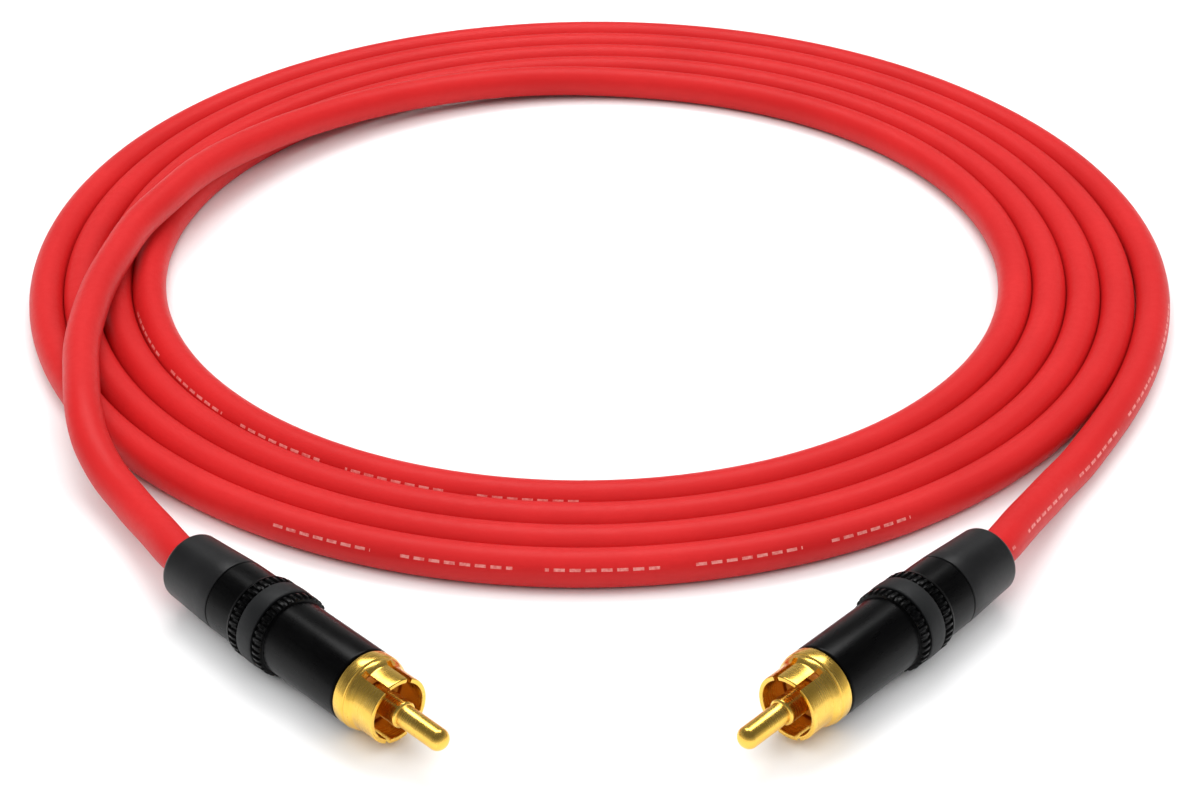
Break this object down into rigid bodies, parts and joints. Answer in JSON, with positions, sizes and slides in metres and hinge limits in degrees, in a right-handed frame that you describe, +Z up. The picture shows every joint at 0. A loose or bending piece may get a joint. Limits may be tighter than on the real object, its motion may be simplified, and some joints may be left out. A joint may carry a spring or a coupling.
{
  "type": "phono audio cable",
  "caption": "Coiled round red audio cable with a screw-together black plug on each end, gold contacts, and a strain-relief boot behind a back nut that unscrews.",
  "frame": {"origin": "on the surface the cable lies on, at the middle of the front edge formed by the two plugs", "axes": "+X across the coil to the right plug, +Y from the plugs to the coil, +Z up"},
  "size_m": [0.2047, 0.2435, 0.0127],
  "materials": {
    "jacket_red": "smooth PVC, semi-matt",
    "boot_rubber": "matt",
    "black_lacquer": "gloss black over brass",
    "ring_plastic": "matt",
    "gold_plate": "gold plate, polished",
    "white_plastic": "moulded",
    "grey_nylon": "moulded",
    "tinned_copper": "tinned",
    "core_clear": "smooth",
    "core_blue": "smooth"
  },
  "bodies": {
    "cable": {"cable_coil": "jacket_red", "left_cable_tail": "jacket_red", "right_cable_tail": "jacket_red", "left_barrel": "black_lacquer", "left_ground_contact": "gold_plate", "left_insulator": "white_plastic", "left_centre_pin": "gold_plate", "left_ground_tag": "tinned_copper", "left_shield_braid": "tinned_copper", "left_signal_core_1": "core_clear", "left_signal_core_2": "core_clear", "left_return_core_1": "core_blue", "left_return_core_2": "core_blue", "right_barrel": "black_lacquer", "right_ground_contact": "gold_plate", "right_insulator": "white_plastic", "right_centre_pin": "gold_plate", "right_ground_tag": "tinned_copper", "right_shield_braid": "tinned_copper", "right_signal_core_1": "core_clear", "right_signal_core_2": "core_clear", "right_return_core_1": "core_blue", "right_return_core_2": "core_blue"},
    "left_chuck": {"left_strain_relief_chuck": "grey_nylon"},
    "left_back_nut": {"left_bushing": "black_lacquer", "left_boot": "boot_rubber", "left_coding_ring": "ring_plastic"},
    "right_chuck": {"right_strain_relief_chuck": "grey_nylon"},
    "right_back_nut": {"right_bushing": "black_lacquer", "right_boot": "boot_rubber", "right_coding_ring": "ring_plastic"}
  },
  "joints": [
    {"name": "left_chuck_slide", "type": "slide", "parent": "cable", "child": "left_chuck", "axis": [-0.6972, 0.7169, 0], "range_m": [0, 0.004]},
    {"name": "left_bushing_unscrew", "type": "hinge", "parent": "left_chuck", "child": "left_back_nut", "pos_m": [-0.04704, 0.00627, 0.00633], "axis": [-0.6972, 0.7169, 0], "range_deg": [0, 1440]},
    {"name": "right_chuck_slide", "type": "slide", "parent": "cable", "child": "right_chuck", "axis": [0.68, 0.7333, 0], "range_m": [0, 0.004]},
    {"name": "right_bushing_unscrew", "type": "hinge", "parent": "right_chuck", "child": "right_back_nut", "pos_m": [0.04743, 0.00711, 0.00633], "axis": [0.68, 0.7333, 0], "range_deg": [0, 1440]}
  ],
  "couplings": [
    {"joint": "left_bushing_unscrew", "follows": "left_chuck_slide", "rad_per_m": 6283},
    {"joint": "right_bushing_unscrew", "follows": "right_chuck_slide", "rad_per_m": 6283}
  ]
}
